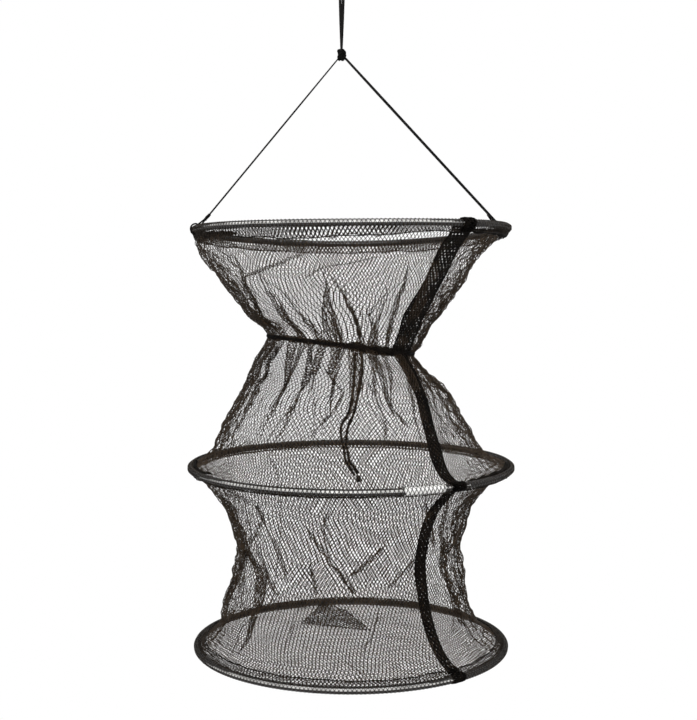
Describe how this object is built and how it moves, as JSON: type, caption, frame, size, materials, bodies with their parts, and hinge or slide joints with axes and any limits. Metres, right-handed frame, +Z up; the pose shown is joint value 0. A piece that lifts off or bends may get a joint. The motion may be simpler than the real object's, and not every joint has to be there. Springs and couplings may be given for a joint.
{
  "type": "fishing keepnet",
  "caption": "Collapsible hanging keepnet: sewn-in hoops, gathered throat, flat net floor and a knotted cord harness.",
  "frame": {"origin": "inner top of the hanging loop, where it bears on its hook", "axes": "+Z up along the hanging net, +X to the right and -Y towards the viewer"},
  "size_m": [0.3272, 0.3272, 0.6768],
  "materials": {
    "netting": "matte",
    "hoop_plastic": "satin",
    "sleeve_plastic": "satin",
    "harness_cord": "matte",
    "draw_cord": "matte"
  },
  "bodies": {
    "harness": {"hanging_loop": "harness_cord", "apex_knot": "harness_cord", "harness_leg_left": "harness_cord", "harness_leg_right": "harness_cord"},
    "top_hoop": {"tie_loop_left": "harness_cord", "tie_knot_left": "harness_cord", "tie_loop_right": "harness_cord", "tie_knot_right": "harness_cord", "top_hoop_tube": "hoop_plastic", "top_hoop_sleeve": "hoop_plastic", "top_hem": "netting", "upper_net": "netting", "upper_seam": "netting"},
    "throat": {"throat_drawstring": "draw_cord", "throat_knot": "draw_cord", "drawstring_tail_right": "draw_cord", "drawstring_tail_left": "draw_cord", "drawstring_end_knot": "draw_cord", "middle_net": "netting", "middle_seam": "netting"},
    "middle_hoop": {"middle_hoop_tube": "hoop_plastic", "middle_hoop_sleeve": "sleeve_plastic", "middle_hem": "netting", "lower_net": "netting", "lower_seam": "netting"},
    "bottom_hoop": {"bottom_hoop_tube": "hoop_plastic", "bottom_hoop_sleeve": "hoop_plastic", "bottom_hem": "netting", "floor_net": "netting"}
  },
  "joints": [
    {"name": "hoop_tilt", "type": "hinge", "parent": "harness", "child": "top_hoop", "pos_m": [-0.1296, -0.038, -0.2427], "axis": [0.9659, 0.2585, -0.0157], "range_deg": [-80, 80]},
    {"name": "throat_rise", "type": "slide", "parent": "top_hoop", "child": "throat", "axis": [0, 0, 1], "range_m": [0, 0.09], "deforming": ["upper_net", "upper_seam"]},
    {"name": "middle_hoop_rise", "type": "slide", "parent": "throat", "child": "middle_hoop", "axis": [0, 0, 1], "range_m": [0, 0.117], "deforming": ["middle_net", "middle_seam"]},
    {"name": "bottom_hoop_rise", "type": "slide", "parent": "middle_hoop", "child": "bottom_hoop", "axis": [0, 0, 1], "range_m": [0, 0.171], "deforming": ["lower_net", "lower_seam", "drawstring_tail_right", "drawstring_tail_left", "drawstring_end_knot"]}
  ]
}
